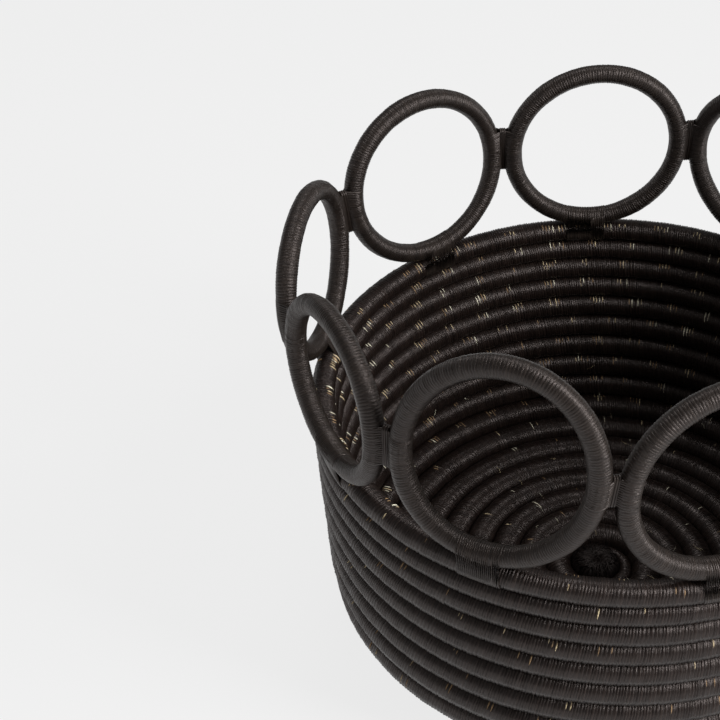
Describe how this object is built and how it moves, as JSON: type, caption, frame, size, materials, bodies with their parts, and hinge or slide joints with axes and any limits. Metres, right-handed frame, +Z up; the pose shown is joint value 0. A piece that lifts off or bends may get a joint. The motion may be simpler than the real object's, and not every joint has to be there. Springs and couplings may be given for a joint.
{
  "type": "coiled basket",
  "caption": "Round coiled sisal basket with a ring of upright cord hoops sewn along its rim.",
  "frame": {"origin": "middle of the underside, where the start knot rests on the table", "axes": "+Z up through the mouth; -Y towards the front of the picture"},
  "size_m": [0.2669, 0.2558, 0.2083],
  "materials": {
    "body_sisal": "satin dyed sisal wrapped round a straw core",
    "hoop_sisal": "satin dyed sisal wrapped round a straw core",
    "lashing_thread": "twisted dyed sisal thread"
  },
  "bodies": {
    "root": {"body_coil": "body_sisal", "start_knot": "body_sisal", "hoop_1": "hoop_sisal", "hoop_2": "hoop_sisal", "hoop_3": "hoop_sisal", "hoop_4": "hoop_sisal", "hoop_5": "hoop_sisal", "hoop_6": "hoop_sisal", "hoop_7": "hoop_sisal", "hoop_8": "hoop_sisal", "hoop_9": "hoop_sisal", "rim_lashing_1": "lashing_thread", "rim_lashing_2": "lashing_thread", "rim_lashing_3": "lashing_thread", "rim_lashing_4": "lashing_thread", "rim_lashing_5": "lashing_thread", "rim_lashing_6": "lashing_thread", "rim_lashing_7": "lashing_thread", "rim_lashing_8": "lashing_thread", "rim_lashing_9": "lashing_thread", "side_lashing_1": "lashing_thread", "side_lashing_2": "lashing_thread", "side_lashing_3": "lashing_thread", "side_lashing_4": "lashing_thread", "side_lashing_5": "lashing_thread", "side_lashing_6": "lashing_thread", "side_lashing_7": "lashing_thread", "side_lashing_8": "lashing_thread", "side_lashing_9": "lashing_thread"}
  },
  "joints": []
}
